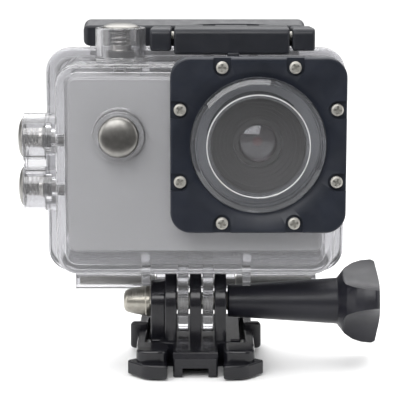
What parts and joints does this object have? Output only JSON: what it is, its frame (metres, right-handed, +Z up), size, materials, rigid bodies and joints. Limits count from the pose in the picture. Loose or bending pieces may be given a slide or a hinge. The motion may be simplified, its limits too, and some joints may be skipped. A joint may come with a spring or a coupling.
{
  "type": "action camera in waterproof case",
  "caption": "Box-shaped action camera inside a clear waterproof case with a top latch and back door, clamped by a thumb screw to a quick-release buckle.",
  "frame": {"origin": "centre of the buckle's flat underside, below the thumb-screw axis", "axes": "the lens looks along -Y, +X is the thumb screw's knob end, +Z is up"},
  "size_m": [0.086, 0.0431, 0.0807],
  "materials": {
    "buckle_black": "moulded gloss",
    "latch_black": "satin moulded",
    "knob_black": "satin moulded",
    "frame_black": "fine satin",
    "clear_case": "polished clear polycarbonate",
    "window_glass": "polished",
    "lens_glass": "coated",
    "clear_port": "polished clear polycarbonate",
    "filter_glass": "tinted infrared filter",
    "nut_nickel": "nickel plated",
    "screw_steel": "plated",
    "spring_steel": "bright wire",
    "button_metal": "satin plated",
    "camera_silver": "silver paint",
    "barrel_dark": "fine matt",
    "bush_dark": "matt",
    "seal_rubber": "matt",
    "seal_silicone": "translucent silicone",
    "board_green": "solder mask",
    "battery_wrap": "wrapped cell",
    "screen_black": "glossy panel",
    "card_black": "matt"
  },
  "bodies": {
    "buckle": {"buckle_base": "buckle_black", "clamp_nut": "nut_nickel"},
    "clip_left": {"clip_arm_left": "buckle_black"},
    "clip_right": {"clip_arm_right": "buckle_black"},
    "thumb_screw": {"screw_rod": "screw_steel", "thumb_knob": "knob_black"},
    "housing": {"housing_front": "clear_case", "port_gasket": "seal_rubber", "lens_port": "clear_port", "port_window": "window_glass", "port_frame": "frame_black", "frame_screw_1": "screw_steel", "frame_screw_2": "screw_steel", "frame_screw_3": "screw_steel", "frame_screw_4": "screw_steel", "frame_screw_5": "screw_steel", "frame_screw_6": "screw_steel", "frame_screw_7": "screw_steel", "frame_screw_8": "screw_steel", "lever_pivot_pin": "screw_steel", "door_hinge_pin": "screw_steel", "shutter_bush": "bush_dark", "up_bush": "bush_dark", "down_bush": "bush_dark", "shutter_o_ring": "seal_rubber", "power_o_ring": "seal_rubber", "up_o_ring": "seal_rubber", "down_o_ring": "seal_rubber", "shutter_spring": "spring_steel", "power_spring": "spring_steel", "up_spring": "spring_steel", "down_spring": "spring_steel", "camera_front_shell": "camera_silver", "camera_rear_shell": "camera_silver", "lens_barrel": "barrel_dark", "lens_front_element": "lens_glass", "lens_rear_element": "filter_glass", "image_sensor": "card_black", "sensor_board": "board_green", "battery": "battery_wrap", "battery_door": "camera_silver", "main_board": "board_green", "lcd_panel": "screen_black", "memory_card": "card_black", "speaker": "bush_dark", "usb_socket": "screw_steel", "hdmi_socket": "screw_steel"},
    "lever": {"latch_lever": "latch_black", "claw_pin": "screw_steel"},
    "claw": {"latch_claw": "latch_black"},
    "rear_door": {"back_door": "clear_case", "door_gasket": "seal_silicone"},
    "shutter_button": {"shutter_plunger": "button_metal"},
    "power_button": {"power_plunger": "button_metal"},
    "up_button": {"up_plunger": "button_metal"},
    "down_button": {"down_plunger": "button_metal"},
    "shutter_key": {"shutter_key": "button_metal"},
    "power_key": {"power_key": "button_metal"},
    "up_key": {"up_key": "bush_dark"},
    "down_key": {"down_key": "bush_dark"}
  },
  "joints": [
    {"name": "clip_left_flex", "type": "hinge", "parent": "buckle", "child": "clip_left", "pos_m": [-0.0128, 0.0171, 0.003], "axis": [0, 0, 1], "range_deg": [0, 1.6], "stiffness_Nm_per_rad": 5.5},
    {"name": "clip_right_flex", "type": "hinge", "parent": "buckle", "child": "clip_right", "pos_m": [0.0128, 0.0171, 0.003], "axis": [0, 0, -1], "range_deg": [0, 1.6], "stiffness_Nm_per_rad": 5.5},
    {"name": "screw_turn", "type": "hinge", "parent": "buckle", "child": "thumb_screw", "pos_m": [0, 0, 0.014], "axis": [1, 0, 0], "continuous": true},
    {"name": "case_tilt", "type": "hinge", "parent": "buckle", "child": "housing", "pos_m": [0, 0, 0.014], "axis": [1, 0, 0], "range_deg": [-20, 55]},
    {"name": "lever_lift", "type": "hinge", "parent": "housing", "child": "lever", "pos_m": [0.00845, 0.0055, 0.0768], "axis": [-1, 0, 0], "range_deg": [0, 110]},
    {"name": "claw_swing", "type": "hinge", "parent": "lever", "child": "claw", "pos_m": [0.0086, -0.0025, 0.078], "axis": [1, 0, 0], "range_deg": [0, 177]},
    {"name": "door_open", "type": "hinge", "parent": "housing", "child": "rear_door", "pos_m": [0, 0.0114, 0.0166], "axis": [-1, 0, 0], "range_deg": [0, 85]},
    {"name": "shutter_press", "type": "slide", "parent": "housing", "child": "shutter_button", "axis": [0, 0, -1], "range_m": [0, 0.0015], "stiffness_N_per_m": 900, "deforming": ["shutter_spring"]},
    {"name": "power_press", "type": "slide", "parent": "housing", "child": "power_button", "axis": [0, 1, 0], "range_m": [0, 0.0015], "stiffness_N_per_m": 900, "deforming": ["power_spring"]},
    {"name": "up_press", "type": "slide", "parent": "housing", "child": "up_button", "axis": [1, 0, 0], "range_m": [0, 0.0015], "stiffness_N_per_m": 900, "deforming": ["up_spring"]},
    {"name": "down_press", "type": "slide", "parent": "housing", "child": "down_button", "axis": [1, 0, 0], "range_m": [0, 0.0015], "stiffness_N_per_m": 900, "deforming": ["down_spring"]},
    {"name": "shutter_key_press", "type": "slide", "parent": "housing", "child": "shutter_key", "axis": [0, 0, -1], "range_m": [0, 0.0005]},
    {"name": "power_key_press", "type": "slide", "parent": "housing", "child": "power_key", "axis": [0, 1, 0], "range_m": [0, 0.0005]},
    {"name": "up_key_press", "type": "slide", "parent": "housing", "child": "up_key", "axis": [1, 0, 0], "range_m": [0, 0.0005]},
    {"name": "down_key_press", "type": "slide", "parent": "housing", "child": "down_key", "axis": [1, 0, 0], "range_m": [0, 0.0005]}
  ],
  "couplings": [
    {"joint": "claw_swing", "follows": "lever_lift", "ratio": 1.6},
    {"joint": "door_open", "follows": "lever_lift", "ratio": 0.75},
    {"joint": "shutter_key_press", "follows": "shutter_press", "ratio": 0.3},
    {"joint": "power_key_press", "follows": "power_press", "ratio": 0.3},
    {"joint": "up_key_press", "follows": "up_press", "ratio": 0.3},
    {"joint": "down_key_press", "follows": "down_press", "ratio": 0.3}
  ]
}
